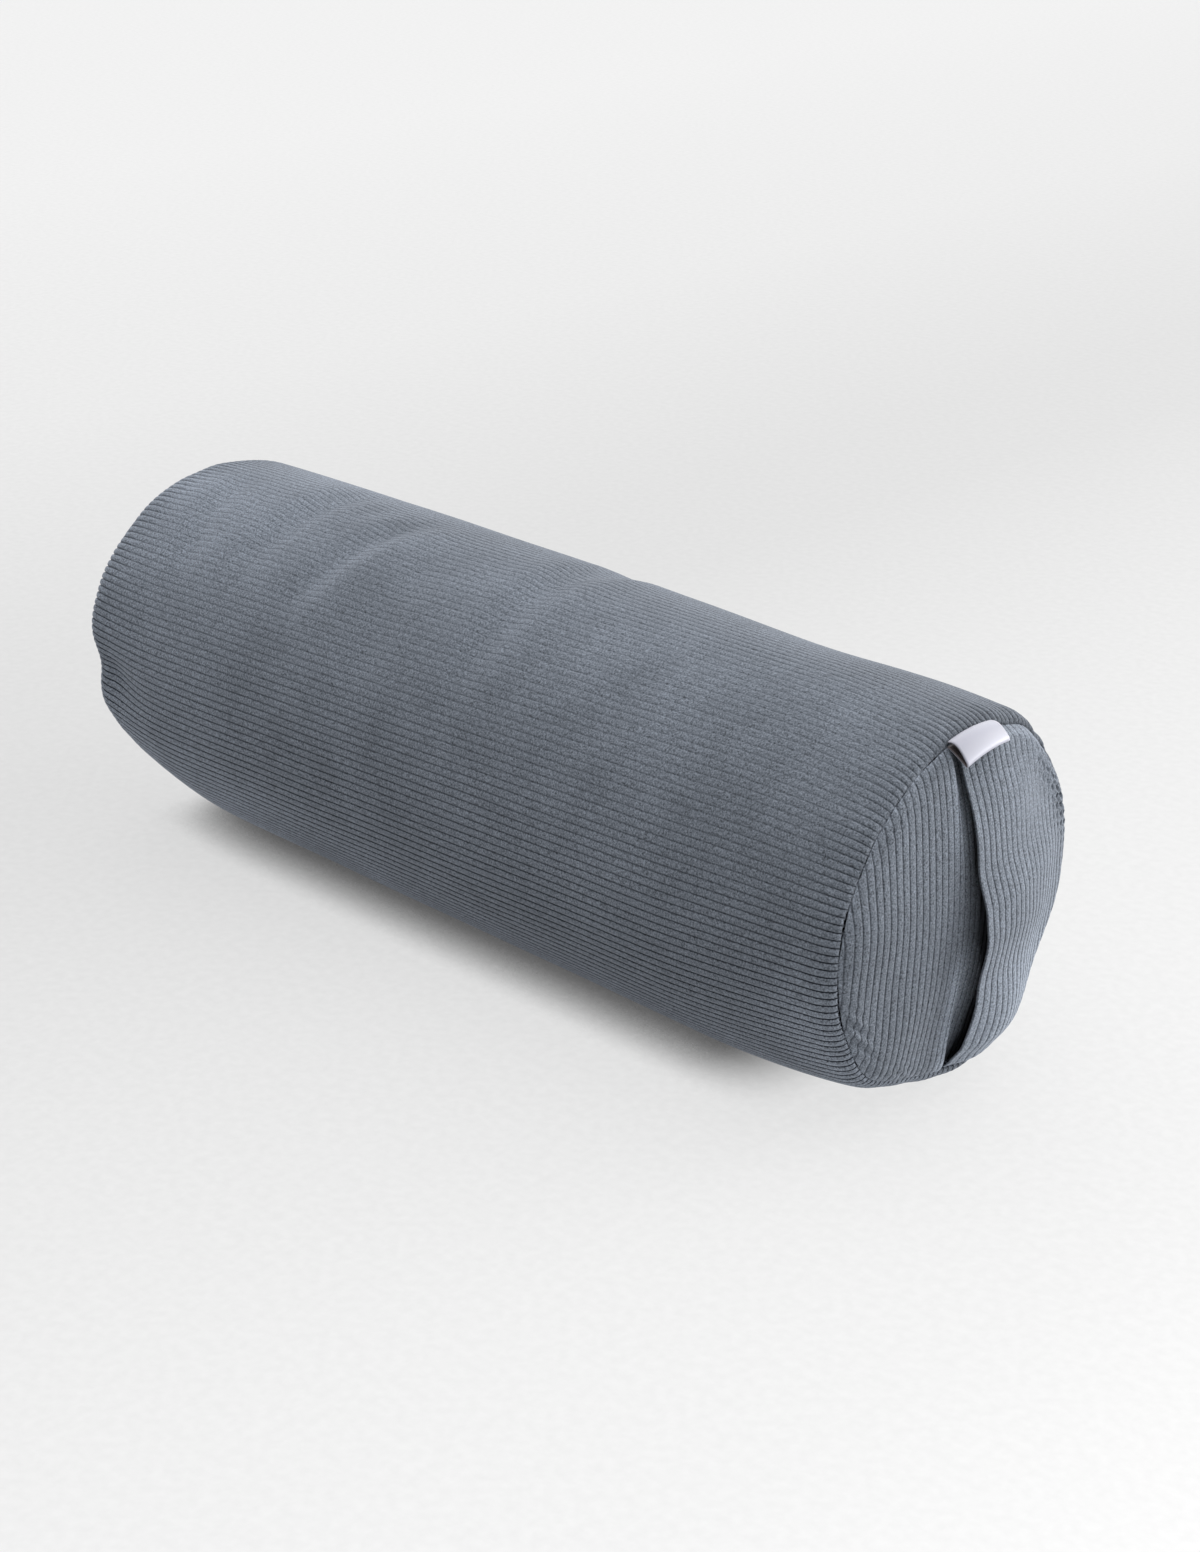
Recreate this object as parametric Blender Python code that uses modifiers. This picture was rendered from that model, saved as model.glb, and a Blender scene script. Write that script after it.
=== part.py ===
"""Round yoga bolster in wide-wale corduroy, lying on its side.

Metres. X runs along the bolster with the grip end at +X, Y runs across it and
Z is up. The origin is on the surface it lies on, under the middle of its box.

Pieces: the filled body with its wrap panel, a domed round panel sewn into each
end, the half-moon grip flap over the +X panel, and a folded label in the seam.
"""
import math

import bmesh
import bpy
from mathutils import Matrix, Vector

# Filled body, measured over the ribs
SEAM_TO_SEAM = 0.605
WIDTH = 0.221
HEIGHT = 0.2215
SQUASH = 0.0035            # what the surface presses in from the round underside
WRAP_MIDDLE_X = -0.0065    # the flap reaches further out than the far panel
SHOULDER_DROP = 0.005      # the wrap rounds over by this much at each seam
SHOULDER_REACH = 0.012

# Corduroy
BODY_RIBS = 150
RIB_PITCH = 0.0047
RIB_RISE = 0.0011
RIB_TWIST = -0.34          # radians that the wrap turns for each metre along X

# Seams and sheets
LIP = 0.002                # the wrap's turned edge, standing inside each seam
LEAN_REACH = 0.15          # a leaning end skews this much of the wrap beside it
GAP = 0.0003
PANEL_THICKNESS = 0.002
PANEL_SET_BACK = 0.0015    # panel rim behind the crest of the lip
DOME_RISE = 0.0135
FILLING_CLEARANCE = 0.0009

# Each end: how far the filling's pull draws in its side, top and underside,
# over what reach, and how far its seam leans out at the +Y side and at the top
END_COLUMNS = ("sign", "side", "side_reach", "top", "top_reach", "under", "under_reach", "lean_y", "lean_z")
GRIP_END = dict(zip(END_COLUMNS, (1, 0.0, 0.10, 0.0081, 0.10, 0.0196, 0.12, -0.012, 0.0015)))
PLAIN_END = dict(zip(END_COLUMNS, (-1, 0.0025, 0.10, 0.0030, 0.10, 0.0178, 0.08, -0.004, 0.006)))
ENDS = (GRIP_END, PLAIN_END)

# Where an end's seam leaves its ellipse: turn round from +Y and spread in
# degrees, and how far it stands out there, as a share of its radius
GRIP_END["uneven"] = ((-131, 15, 0.045), (-76, 20, 0.112), (-40, 16, -0.020), (38, 16, -0.018), (57, 11, 0.030))
PLAIN_END["uneven"] = ((184, 8, -0.040), (238, 18, -0.022))

# Soft hollows in the wrap: place along X, turn round from +Y in degrees, depth,
# half length along X, half width round the wrap
HOLLOW_COLUMNS = ("x", "turn", "depth", "half_length", "half_width")
HOLLOW_FADE = 0.02         # they come to nothing over this distance from a seam
HOLLOWS = [
    dict(zip(HOLLOW_COLUMNS, row))
    for row in (
        (0.170, 60, 0.0030, 0.090, 0.060),
        (0.015, 62, 0.0010, 0.030, 0.035),
        (-0.160, 105, 0.0025, 0.040, 0.050),
        (-0.240, 150, 0.0020, 0.035, 0.060),
        (-0.285, 184, 0.0045, 0.022, 0.018),
    )
]

# Grip flap
FLAP_THICKNESS = 0.0026
FLAP_STACK = FLAP_THICKNESS + RIB_RISE + GAP
FLAP_EDGE_Y = -0.006       # the straight edge, half way up
FLAP_EDGE_SLOPE = 0.054    # it leans towards +Y as it goes down
FLAP_POUCH = 0.010         # extra fullness low on the +Y side
POUCH_ACROSS, POUCH_UP, POUCH_SPREAD = 0.26, -0.80, 0.32
FLAP_FULLNESS = 0.004      # and all along that side
EDGE_TUCK, POUCH_TUCK = 0.06, 0.07   # shares of the radius over which they sink to the seam
# How far the straight edge stands off the end panel: height as a share of the
# ring's half height, and the space behind the flap
EDGE_STAND_OFF = (
    (-1.00, 0.0000),
    (-0.85, 0.0032),
    (-0.48, 0.0064),
    (-0.14, 0.0100),
    (0.02, 0.0088),
    (0.20, 0.0026),
    (0.50, 0.0010),
    (1.00, 0.0000),
)

# Label: a white ribbon folded in two, its ends sewn into the seam
LABEL_FROM_Y, LABEL_TO_Y = -0.0155, 0.0215
LABEL_LENGTH = 0.0155
LABEL_THICKNESS = 0.0010
LABEL_FOLD_RADIUS = 0.0013
LABEL_DROOP = 0.0050
LABEL_TWIST = 0.0012       # the -Y corner hangs this much lower than the other
LABEL_CLEARANCE = 0.0005   # past the crest of the lip

# Steps of the solids
BODY_STATIONS = (-0.2985, -0.2905, -0.262, -0.222, -0.10, 0.01, 0.1375, 0.20, 0.255, 0.2905, 0.2985)
RECESS_SEGMENTS = 96
FILLING_RINGS = ((24, 0.62), (12, 0.28))   # segments, share of the recess radius
PANEL_SEGMENTS = 96
PANEL_ROWS = 5
FLAP_ROWS = 9
LABEL_STEPS = 4

CORDUROY_COLOUR = (0.145, 0.175, 0.205, 1.0)
LABEL_COLOUR = (0.78, 0.79, 0.82, 1.0)


def clamp(value):
    return min(1.0, max(0.0, value))


def smooth(value):
    value = clamp(value)
    return value * value * (3 - 2 * value)


def ridge(ribs_along):
    """Depth below the rib tops, 0 on a rib and RIB_RISE in the groove beside it."""
    return RIB_RISE * 2 * abs(ribs_along - round(ribs_along))


def pull(distance, depth, reach):
    return depth * clamp(1 - distance / reach) ** 2


def shoulder(distance):
    inside = clamp(1 - distance / SHOULDER_REACH)
    return SHOULDER_DROP * (1 - math.sqrt(1 - inside * inside))


def section(x):
    """Half width, half height and middle height of the wrap at x."""
    half_width = WIDTH / 2
    top = HEIGHT
    under = -SQUASH
    for end in ENDS:
        distance = SEAM_TO_SEAM / 2 - end["sign"] * x
        turned = shoulder(distance)
        half_width -= pull(distance, end["side"], end["side_reach"]) + turned
        top -= pull(distance, end["top"], end["top_reach"]) + turned
        under += pull(distance, end["under"], end["under_reach"]) + turned
    return half_width, (top - under) / 2, (top + under) / 2


def uneven(end, turn):
    """Radius of an end's seam as a factor of its ellipse's."""
    factor = 1.0
    for middle, spread, share in end["uneven"]:
        off = math.remainder(turn - math.radians(middle), 2 * math.pi) / math.radians(spread)
        factor += share * math.exp(-off * off)
    return factor


def lean(end, across, up):
    return end["lean_y"] * across + end["lean_z"] * up


def hollow(x, turn):
    """Depth of the soft hollows at a place on the wrap."""
    depth = 0.0
    for row in HOLLOWS:
        off = math.remainder(turn - math.radians(row["turn"]), 2 * math.pi) * WIDTH / 2
        along = (x - row["x"]) / row["half_length"]
        depth += row["depth"] * math.exp(-along * along - (off / row["half_width"]) ** 2)
    return depth * smooth((SEAM_TO_SEAM / 2 - abs(x)) / HOLLOW_FADE)


def wrap_point(x, turn, depth):
    """Point of the wrap at x, turned round from +Y, a depth below the rib tops."""
    half_width, half_height, middle = section(x)
    across = math.cos(turn)
    up = math.sin(turn)
    skew = 0.0
    wider = 1.0
    for end in ENDS:
        distance = SEAM_TO_SEAM / 2 - end["sign"] * x
        share = clamp(1 - distance / LEAN_REACH) ** 2
        skew += end["sign"] * lean(end, across, up) * share
        wider += (uneven(end, turn) - 1) * share
    depth += hollow(x, turn)
    z = middle + (half_height * wider - depth) * up
    return Vector((x + skew, (half_width * wider - depth) * across, max(z, 0.0)))


def ring(end):
    """Half width, half height and middle height of an end's seam."""
    return section(end["sign"] * SEAM_TO_SEAM / 2)


def set_back(end, across):
    """How far the panel's rim lies behind the lip: deeper where the flap lies over it."""
    if end is PLAIN_END:
        return PANEL_SET_BACK
    return PANEL_SET_BACK + FLAP_STACK * smooth((across + 0.60) / 0.47)


def on_end(end, y, z):
    """Place on an end as shares of its seam: across, up, and out from the middle."""
    half_width, half_height, middle = ring(end)
    across = y / half_width
    up = (z - middle) / half_height
    return across, up, math.hypot(across, up) / uneven(end, math.atan2(up, across))


def panel_reach(end, y, z):
    """How far the end panel's outer face stands out past the middle of the seam."""
    across, up, spread = on_end(end, y, z)
    return lean(end, across, up) + DOME_RISE * (1 - spread ** 2) - set_back(end, across) * spread ** 2


def edge_stand_off(up):
    """Space behind the flap's straight edge, read smoothly from its table."""
    for (low, low_space), (high, high_space) in zip(EDGE_STAND_OFF, EDGE_STAND_OFF[1:]):
        if up <= high:
            return low_space + (high_space - low_space) * smooth((up - low) / (high - low))
    return 0.0


def beyond_edge(y, z):
    """Distance from the flap's straight edge, square to its ribs."""
    middle = ring(GRIP_END)[2]
    return y - FLAP_EDGE_Y + FLAP_EDGE_SLOPE * (z - middle)


def flap_reach(y, z):
    """How far the flap's outer face stands out past the middle of the seam."""
    across, up, spread = on_end(GRIP_END, y, z)
    share = clamp(beyond_edge(y, z) / ring(GRIP_END)[0])
    space = edge_stand_off(up) * (1 - share ** 2) * smooth((1 - spread) / EDGE_TUCK)
    away = math.hypot(across - POUCH_ACROSS, up - POUCH_UP) / POUCH_SPREAD
    space += FLAP_POUCH * math.exp(-away * away) * smooth((1 - spread) / POUCH_TUCK)
    space += FLAP_FULLNESS * clamp(across) * smooth((1 - spread) / POUCH_TUCK)
    return panel_reach(GRIP_END, y, z) + FLAP_STACK + space


def material(name, colour, roughness):
    made = bpy.data.materials.new(name)
    made.use_nodes = True
    shader = made.node_tree.nodes["Principled BSDF"]
    shader.inputs["Base Color"].default_value = colour
    shader.inputs["Roughness"].default_value = roughness
    shader.inputs["Metallic"].default_value = 0.0
    return made


def add_object(name, bm, finish, collection):
    """Turn a bmesh built about the wrap's middle into an object in the part's frame."""
    bmesh.ops.translate(bm, verts=bm.verts, vec=(WRAP_MIDDLE_X, 0, 0))
    mesh = bpy.data.meshes.new(name)
    bm.to_mesh(mesh)
    bm.free()
    mesh.materials.append(finish)
    mesh.shade_smooth()
    made = bpy.data.objects.new(name, mesh)
    collection.objects.link(made)
    return made


def thicken(bm, end, thickness):
    """Give an open face its cloth thickness, straight in along X so that its rim keeps its place."""
    copied = bmesh.ops.extrude_face_region(bm, geom=bm.faces[:], use_keep_orig=True)
    back = [item for item in copied["geom"] if isinstance(item, bmesh.types.BMVert)]
    bmesh.ops.translate(bm, verts=back, vec=(-end["sign"] * thickness, 0, 0))
    bmesh.ops.recalc_face_normals(bm, faces=bm.faces)


def cut_across(bm, point, normal, drop_inner=False):
    bmesh.ops.bisect_plane(
        bm,
        geom=bm.verts[:] + bm.edges[:] + bm.faces[:],
        dist=1e-6,
        plane_co=point,
        plane_no=normal,
        clear_inner=drop_inner,
    )


def edge_loop(verts):
    """The edges that join the vertices of one ring."""
    inside = set(verts)
    return [edge for edge in {e for v in verts for e in v.link_edges} if inside.issuperset(edge.verts)]


def inside_seam(end, margin, across, up):
    """Y and Z of a place on an end, from its shares of the seam less a margin."""
    half_width, half_height, middle = ring(end)
    factor = uneven(end, math.atan2(up, across))
    return (half_width * factor - margin) * across, middle + (half_height * factor - margin) * up


def add_ring(bm, end, segments, share, capped=False):
    """A ring of points on the filling's end, a share of the way out to the recess."""
    made = bmesh.ops.create_circle(bm, cap_ends=capped, cap_tris=capped, segments=segments, radius=share)
    for vert in made["verts"]:
        y, z = inside_seam(end, LIP, vert.co.x, vert.co.y)
        reach = panel_reach(end, y, z) - RIB_RISE - PANEL_THICKNESS - FILLING_CLEARANCE
        vert.co = ((SEAM_TO_SEAM / 2 + reach) * end["sign"], y, z)
    return made["verts"]


def close_end(bm, end, crest):
    """Fold the wrap's crest into the recess and close it with the domed filling."""
    outer = add_ring(bm, end, RECESS_SEGMENTS, 1.0)
    bmesh.ops.bridge_loops(bm, edges=edge_loop(crest) + edge_loop(outer))
    for segments, share in FILLING_RINGS:
        last = (segments, share) == FILLING_RINGS[-1]
        inner = add_ring(bm, end, segments, share, capped=last)
        rim = [v for v in inner if not last or len([e for e in v.link_edges if e.is_boundary]) == 2]
        bmesh.ops.bridge_loops(bm, edges=edge_loop(outer) + edge_loop(rim))
        outer = rim


def make_body(finish, collection):
    """Filled body: a cylinder with a point on each rib and groove, shaped to the section."""
    bm = bmesh.new()
    bmesh.ops.create_cone(
        bm,
        cap_ends=False,
        segments=2 * BODY_RIBS,
        radius1=1,
        radius2=1,
        depth=SEAM_TO_SEAM,
        matrix=Matrix.Rotation(math.pi / 2, 4, "Y"),
    )
    for x in BODY_STATIONS:
        cut_across(bm, (x, 0, 0), (1, 0, 0))
    crests = {end["sign"]: [v for v in bm.verts if v.is_boundary and v.co.x * end["sign"] > 0] for end in ENDS}
    for vert in bm.verts:
        x, y, z = vert.co
        turn = math.atan2(z, y)
        vert.co = wrap_point(x, turn + RIB_TWIST * x, ridge(turn / (2 * math.pi) * BODY_RIBS))
    for end in ENDS:
        close_end(bm, end, crests[end["sign"]])
    bmesh.ops.triangulate(bm, faces=bm.faces)
    bmesh.ops.recalc_face_normals(bm, faces=bm.faces)
    return add_object("bolster_body", bm, finish, collection)


def upright_disc(end, margin, segments):
    """A flat disc that fills an end's recess up to a margin."""
    bm = bmesh.new()
    bmesh.ops.create_circle(bm, cap_ends=True, segments=segments, radius=1)
    for vert in bm.verts:
        vert.co = (0, *inside_seam(end, margin, vert.co.x, vert.co.y))
    return bm


def cut_rows(bm, rows):
    low = min(vert.co.z for vert in bm.verts)
    high = max(vert.co.z for vert in bm.verts)
    for row in range(1, rows):
        cut_across(bm, (0, 0, low + (high - low) * row / rows), (0, 0, 1))


def make_end_panel(name, end, finish, collection):
    """Domed round panel with upright ribs."""
    bm = upright_disc(end, LIP + GAP, PANEL_SEGMENTS)
    columns = int(ring(end)[0] / (RIB_PITCH / 2))
    for column in range(-columns, columns + 1):
        cut_across(bm, (0, column * RIB_PITCH / 2, 0), (0, 1, 0))
    cut_rows(bm, PANEL_ROWS)
    bmesh.ops.triangulate(bm, faces=bm.faces)
    for vert in bm.verts:
        y, z = vert.co.yz
        reach = panel_reach(end, y, z) - ridge(y / RIB_PITCH)
        vert.co.x = end["sign"] * (SEAM_TO_SEAM / 2 + reach)
    thicken(bm, end, PANEL_THICKNESS)
    return add_object(name, bm, finish, collection)


def make_grip_flap(finish, collection):
    """Half-moon flap over the grip end's panel, open along its straight edge."""
    bm = upright_disc(GRIP_END, LIP + GAP, PANEL_SEGMENTS)
    middle = ring(GRIP_END)[2]
    across_ribs = (0, 1, FLAP_EDGE_SLOPE)
    cut_across(bm, (0, FLAP_EDGE_Y, middle), across_ribs, drop_inner=True)
    columns = int((ring(GRIP_END)[0] - FLAP_EDGE_Y) / (RIB_PITCH / 2)) + 1
    for column in range(1, columns):
        cut_across(bm, (0, FLAP_EDGE_Y + column * RIB_PITCH / 2, middle), across_ribs)
    cut_rows(bm, FLAP_ROWS)
    bmesh.ops.triangulate(bm, faces=bm.faces)
    for vert in bm.verts:
        y, z = vert.co.yz
        reach = flap_reach(y, z) - ridge(beyond_edge(y, z) / RIB_PITCH)
        vert.co.x = SEAM_TO_SEAM / 2 + reach
    thicken(bm, GRIP_END, FLAP_THICKNESS)
    return add_object("grip_flap", bm, finish, collection)


def label_profile(share):
    """Place on the folded ribbon's middle line: distance out, and height above the lower layer."""
    bend = math.pi * LABEL_FOLD_RADIUS
    straight = LABEL_LENGTH - LABEL_FOLD_RADIUS
    run = share * (2 * straight + bend)
    if run < straight:
        return run, 0.0
    if run < straight + bend:
        angle = (run - straight) / LABEL_FOLD_RADIUS
        return straight + LABEL_FOLD_RADIUS * math.sin(angle), LABEL_FOLD_RADIUS * (1 - math.cos(angle))
    return 2 * straight + bend - run, 2 * LABEL_FOLD_RADIUS


def make_label(finish, collection):
    """Ribbon folded in two, standing out of the seam and drooping a little."""
    half_width, half_height, middle = ring(GRIP_END)
    bm = bmesh.new()
    bmesh.ops.create_grid(bm, x_segments=3 * LABEL_STEPS, y_segments=LABEL_STEPS, size=0.5)
    for vert in bm.verts:
        out, rise = label_profile(vert.co.x + 0.5)
        share = vert.co.y + 0.5
        y = LABEL_FROM_Y + (LABEL_TO_Y - LABEL_FROM_Y) * share
        across = y / half_width
        up = math.sqrt(1 - across * across)
        fall = (LABEL_DROOP + LABEL_TWIST * (1 - share)) * (out / LABEL_LENGTH) ** 1.5
        root = SEAM_TO_SEAM / 2 + lean(GRIP_END, across, up) + LABEL_CLEARANCE
        vert.co = (root + out, y, middle + half_height * up + rise - fall)
    bmesh.ops.recalc_face_normals(bm, faces=bm.faces)
    label = add_object("label_loop", bm, finish, collection)
    wall = label.modifiers.new("Ribbon", "SOLIDIFY")
    wall.thickness = LABEL_THICKNESS
    wall.offset = 0
    return label


def main():
    for old in list(bpy.data.objects):
        bpy.data.objects.remove(old, do_unlink=True)
    collection = bpy.data.collections.new("Yoga bolster")
    bpy.context.scene.collection.children.link(collection)
    corduroy = material("Corduroy", CORDUROY_COLOUR, 0.9)
    satin = material("White satin", LABEL_COLOUR, 0.45)
    make_body(corduroy, collection)
    make_end_panel("end_panel_grip", GRIP_END, corduroy, collection)
    make_end_panel("end_panel_plain", PLAIN_END, corduroy, collection)
    make_grip_flap(corduroy, collection)
    make_label(satin, collection)


main()
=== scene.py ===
"""Round yoga bolster in slate blue-grey wide-wale corduroy, lying on a pale studio floor.

The wrap, both end panels, the grip flap and the folded label are modelled here
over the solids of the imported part, rib by rib, from the same sizes. Metres, in
the part's frame: X runs along the bolster with the grip end at +X, Z is up.

A name that ends in RAMP holds where a smooth rise starts and how wide it is. A
name that ends in RUMPLE holds the depth of an unevenness, the size of its humps
and its seed.
"""
import math

import bpy
import numpy as np
from mathutils import Euler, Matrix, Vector


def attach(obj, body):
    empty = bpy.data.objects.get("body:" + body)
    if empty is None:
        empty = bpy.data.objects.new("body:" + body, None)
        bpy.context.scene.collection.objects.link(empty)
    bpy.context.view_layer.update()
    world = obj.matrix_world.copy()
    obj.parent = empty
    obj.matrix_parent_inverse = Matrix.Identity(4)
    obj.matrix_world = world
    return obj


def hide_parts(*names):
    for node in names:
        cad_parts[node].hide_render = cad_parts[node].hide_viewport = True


BODY = "root"
TAU = 2 * math.pi

# Filled body, over the ribs
SEAM_TO_SEAM = 0.605
END_X = SEAM_TO_SEAM / 2
WIDTH = 0.221
HEIGHT = 0.2215
SQUASH = 0.0035            # what the floor presses in from the round underside
WRAP_MIDDLE_X = -0.0065    # the wrap's middle in the part's frame
SHOULDER_DROP = 0.005
SHOULDER_REACH = 0.012
WRAP_RUMPLE = (0.0006, 0.045, 1)

# Corduroy
BODY_RIBS = 150
PANEL_RIB_PITCH = 0.0051   # stretched over the end, the ribs lie a little wider
FLAP_RIB_PITCH = 0.0054
RIB_RISE = 0.0006
RIB_TWIST = -0.34          # radians that the wrap turns for each metre along X
WANDER_RUMPLE = (0.0016, 0.16, 2)   # of the ribs round the wrap, in radians
WANDER_ALONG = 3           # units of the rumple for each metre along X
WANDER_RAMP = (0.0, 0.05)  # in from either seam
# One rib, from groove to groove: place across it and height as shares
RIB_PLACES = (0.0, 0.08, 0.21, 0.50, 0.79, 0.92)
RIB_HEIGHTS = (0.0, 0.62, 0.92, 1.0, 0.92, 0.62)
# On top the ribs are brushed over and pressed to a share of their height. The
# pile stands open from there downwards, and the ribs are whole at either seam
RIBS_ON_TOP = 0.6
BRUSHED_RAMP = (-0.9, 1.3)
PRESSED_RAMP = (0.0, 0.03)

# Seams and sheets
LEAN_REACH = 0.15
GAP = 0.0003
PANEL_THICKNESS = 0.002
PANEL_SET_BACK = 0.0015
DOME_RISE = 0.0135
FLAP_THICKNESS = 0.0026
FLAP_STACK = FLAP_THICKNESS + 0.0011 + GAP
FLAP_STACK_RAMP = (-0.60, 0.47)
FLAP_EDGE_Y = -0.006
FLAP_EDGE_SLOPE = 0.054
FLAP_POUCH = 0.010
POUCH_ACROSS, POUCH_UP, POUCH_SPREAD = 0.26, -0.80, 0.32
FLAP_FULLNESS = 0.004
EDGE_TUCK, POUCH_TUCK = 0.06, 0.07
# Straight edge of the flap: height as a share of the seam's, space behind it
EDGE_STAND_OFF = (
    (-1.00, 0.0000),
    (-0.85, 0.0032),
    (-0.48, 0.0064),
    (-0.14, 0.0100),
    (0.00, 0.0090),
    (0.30, 0.0036),
    (0.62, 0.0044),
    (0.85, 0.0030),
    (1.00, 0.0000),
)

# Each end: pull of the filling on its side, top and underside with its reach,
# the seam's lean, how much prouder the ribs stand at the seam with its reach,
# and where the seam leaves its ellipse (degrees, spread, share)
GRIP_END = {
    "sign": 1,
    "side": (0.0, 0.10),
    "top": (0.0081, 0.10),
    "under": (0.0196, 0.12),
    "lean": (-0.012, 0.0015),
    "gather": (1.8, 0.007),
    "uneven": (
        (-131, 15, 0.045),
        (-76, 20, 0.112),
        (-40, 16, -0.020),
        (38, 16, -0.018),
        (57, 11, 0.030),
    ),
}
PLAIN_END = {
    "sign": -1,
    "side": (0.0025, 0.10),
    "top": (0.0030, 0.10),
    "under": (0.0178, 0.08),
    "lean": (-0.004, 0.006),
    "gather": (2.8, 0.012),
    "uneven": ((184, 8, -0.040), (238, 18, -0.022)),
}
ENDS = (GRIP_END, PLAIN_END)

# Soft hollows in the wrap: X, turn in degrees, depth, half length, half width
HOLLOWS = (
    (0.170, 60, 0.0030, 0.090, 0.060),
    (0.015, 62, 0.0010, 0.030, 0.035),
    (-0.160, 105, 0.0025, 0.040, 0.050),
    (-0.240, 150, 0.0020, 0.035, 0.060),
    (-0.285, 184, 0.0045, 0.022, 0.018),
)
HOLLOW_FADE = 0.02

# Creases that run round the wrap: X and turn of both ends, depth and half width
CREASES = (
    (-0.187, 76, -0.197, 130, 0.0030, 0.0100),
    (-0.117, 86, -0.144, 138, 0.0032, 0.0105),
    (0.014, 66, 0.010, 142, 0.0026, 0.0110),
    (-0.068, 104, -0.070, 160, 0.0014, 0.0130),
    (0.130, 116, 0.095, 160, 0.0010, 0.0130),
    (-0.262, 98, -0.245, 140, 0.0024, 0.0090),
)
# A crease is whole for this share of its length to each side of its middle, then fades
CREASE_WHOLE, CREASE_FADE = 0.3, 0.22
# Its banks stand up by a share of its depth: place and spread in half widths
CREASE_BANK, CREASE_BANK_AT, CREASE_BANK_SPREAD = 0.55, 1.9, 1.2

# Puckers of the wrap beside its seams. They are deeper at one place, in degrees
FINE_PUCKER_RUMPLE = (0.0007, 0.011, 5)
WIDE_PUCKER_RUMPLE = (0.0009, 0.034, 6)
PUCKER_REACH = 0.014
PUCKER_ALONG = 2
GATHERED_MORE = 1.3
GATHERED_AT, GATHERED_SPREAD = 45, 30

# Wrap: rows over each turned edge as distance from the seam, tuck and set-back,
# and rows that close the end behind its panel as shares of the seam's radius
EDGE_ROWS = (
    (0.0, 0.0022, 0.0075),
    (0.0, 0.0014, 0.0045),
    (0.0, 0.0010, 0.0024),
    (0.0, 0.0006, 0.0009),
    (0.0, 0.0, 0.0),
    (0.0010, 0.0, 0.0),
    (0.0024, 0.0, 0.0),
    (0.0042, 0.0, 0.0),
    (0.0064, 0.0, 0.0),
    (0.0090, 0.0, 0.0),
    (0.0120, 0.0, 0.0),
    (0.0160, 0.0, 0.0),
    (0.0210, 0.0, 0.0),
    (0.0270, 0.0, 0.0),
    (0.0340, 0.0, 0.0),
)
LONG_ROWS = 58
CLOSING_SHARES = (0.0, 0.45, 0.85)
OPEN = -1                  # stands for the share in a row that closes no end
CLOSING_WIDTH = 0.97
CLOSING_DEPTH = 0.0046     # of the filling's end behind the panel's face

# End panels
PANEL_ROWS = 56
RIM_MARGIN = 0.0008        # between the wrap's crest and the rim of a panel or the flap
RIM_RAMP = (0.95, 0.05)
PILLOW = 0.0030            # the panel swells out of its seam by this much
PILLOW_REACH = 0.0050
SEAM_CREASE = 0.0010       # depth of the crease along the seam, and how soon it fills
SEAM_CREASE_REACH = 0.0009
PANEL_RUMPLE = (0.0007, 0.030, 11)
PANEL_RIM_RUMPLE = (0.0004, 0.012, 12)
RIM_RUMPLE_POWER = 6
PANEL_SWAY_RUMPLE = (0.0005, 0.060, 13)
# Puckers beside a sheet's seam: turn and spread in degrees, depth, pitch and slant
PANEL_PUCKERS = (
    (-152, 13, 0.0011, 0.0085, 0.9),
    (-118, 10, 0.0005, 0.0070, 0.9),
    (130, 14, 0.0004, 0.0075, 0.9),
)
PANEL_PUCKERS_AT = (0.07, 0.06)   # how far in from the seam and their spread, as shares
FLAP_PUCKERS = (
    (19, 14, 0.0008, 0.0052, 1.2),
    (40, 12, 0.0011, 0.0080, -0.6),
)
FLAP_PUCKERS_AT = (0.09, 0.09)

# Pocket under the flap's edge, where the panel dips. The panel carries painted shade in it and a
# painted highlight beside it
POCKET_RAMP = (-0.006, 0.006)
POCKET_LIT = 0.68          # painted light reaches in under the edge as a share of its stand-off
POCKET_LIT_LOW = 1.1       # and this much farther towards the underside
POCKET_LIT_LOW_RAMP = (0.2, 0.35)
POCKET_LIT_TOP = 0.20      # and towards the top
POCKET_LIT_TOP_RAMP = (0.2, 0.3)
POCKET_LIGHT = 0.07        # painted shade: this much of the light is left past there
POCKET_FADE = 0.003
BESIDE_RAMP = (-0.020, 0.018)
BESIDE_LOW = 1.3           # painted highlight: the panel beside the flap is this much lighter low down
BESIDE_LOW_RAMP = (0.12, 0.3)
BESIDE_TOP = 0.5           # and this much at the top
BESIDE_TOP_RAMP = (0.2, 0.3)

# Flap
FLAP_ROWS = 110
FOLD_STEPS = 8
FLAP_CLOTH = 0.0015        # thickness of the flap at its folded edge
FLAP_CLOSING = 0.03        # its two layers meet in this share of the seam's radius
FLAP_OUTLINE_FROM = -0.004 # the seam is followed from a little before the straight edge
FLAP_RUMPLE = (0.0006, 0.026, 21)
FLAP_SWELL = 0.0034
FLAP_SWELL_REACH = 0.014
FLAP_SWELL_RAMP = (-0.05, 0.25)
FLAP_DRAWN_IN = 1.2        # its seam is drawn in this much deeper at the upper right
DRAWN_IN_UP_RAMP = (-0.1, 0.4)
DRAWN_IN_ACROSS_RAMP = (0.0, 0.3)
# Where the flap's ribs are worn smooth: place across and up, spread, and how smooth
WORN_ACROSS, WORN_UP = 0.50, 0.52
WORN_SPREAD_ACROSS, WORN_SPREAD_UP = 0.24, 0.36
WORN_SHARE = 0.65

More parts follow.
